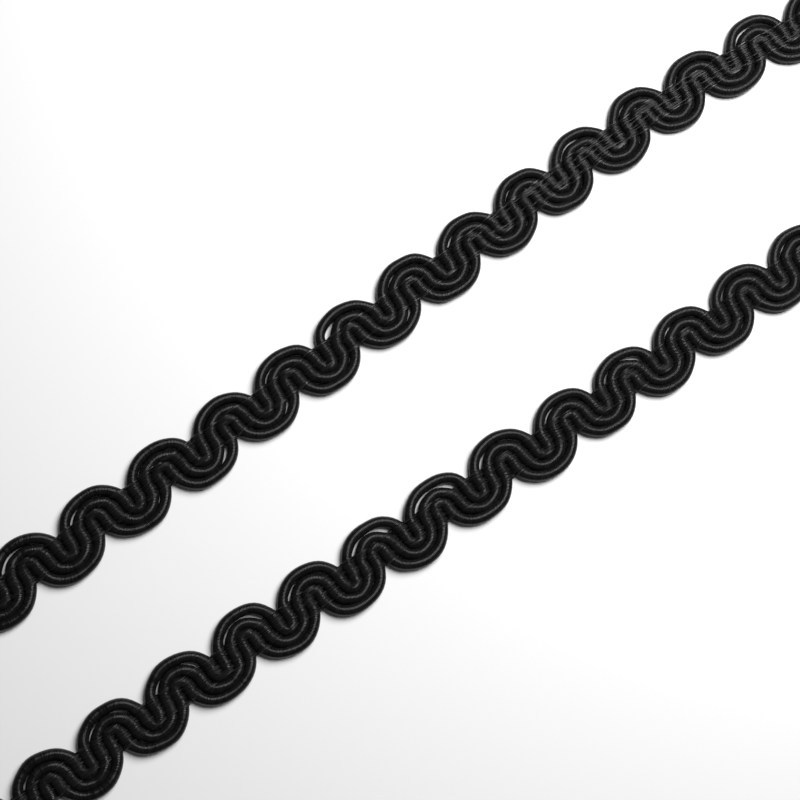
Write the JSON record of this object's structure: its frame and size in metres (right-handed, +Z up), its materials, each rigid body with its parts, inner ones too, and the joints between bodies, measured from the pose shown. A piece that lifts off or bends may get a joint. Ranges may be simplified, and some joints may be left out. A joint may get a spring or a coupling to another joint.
{
  "type": "scroll gimp braid trim",
  "caption": "Flat length of scroll gimp braid trim, doubled back on itself: wrapped cords side by side in close scrolls, with arches along both edges.",
  "frame": {"origin": "middle of the underside, on the surface that the trim lies on", "axes": "+X along the trim from its two cut ends towards the turn, +Y from the returning pass towards the first pass, +Z up"},
  "size_m": [0.1886, 0.0436, 0.0014],
  "materials": {
    "satin_gimp_cord": "near-black satin thread wound closely round a cotton core, with a soft sheen along the back of each cord"
  },
  "bodies": {
    "root": {"outer_gimp_cord": "satin_gimp_cord", "middle_gimp_cord": "satin_gimp_cord", "inner_gimp_cord": "satin_gimp_cord"}
  },
  "joints": []
}
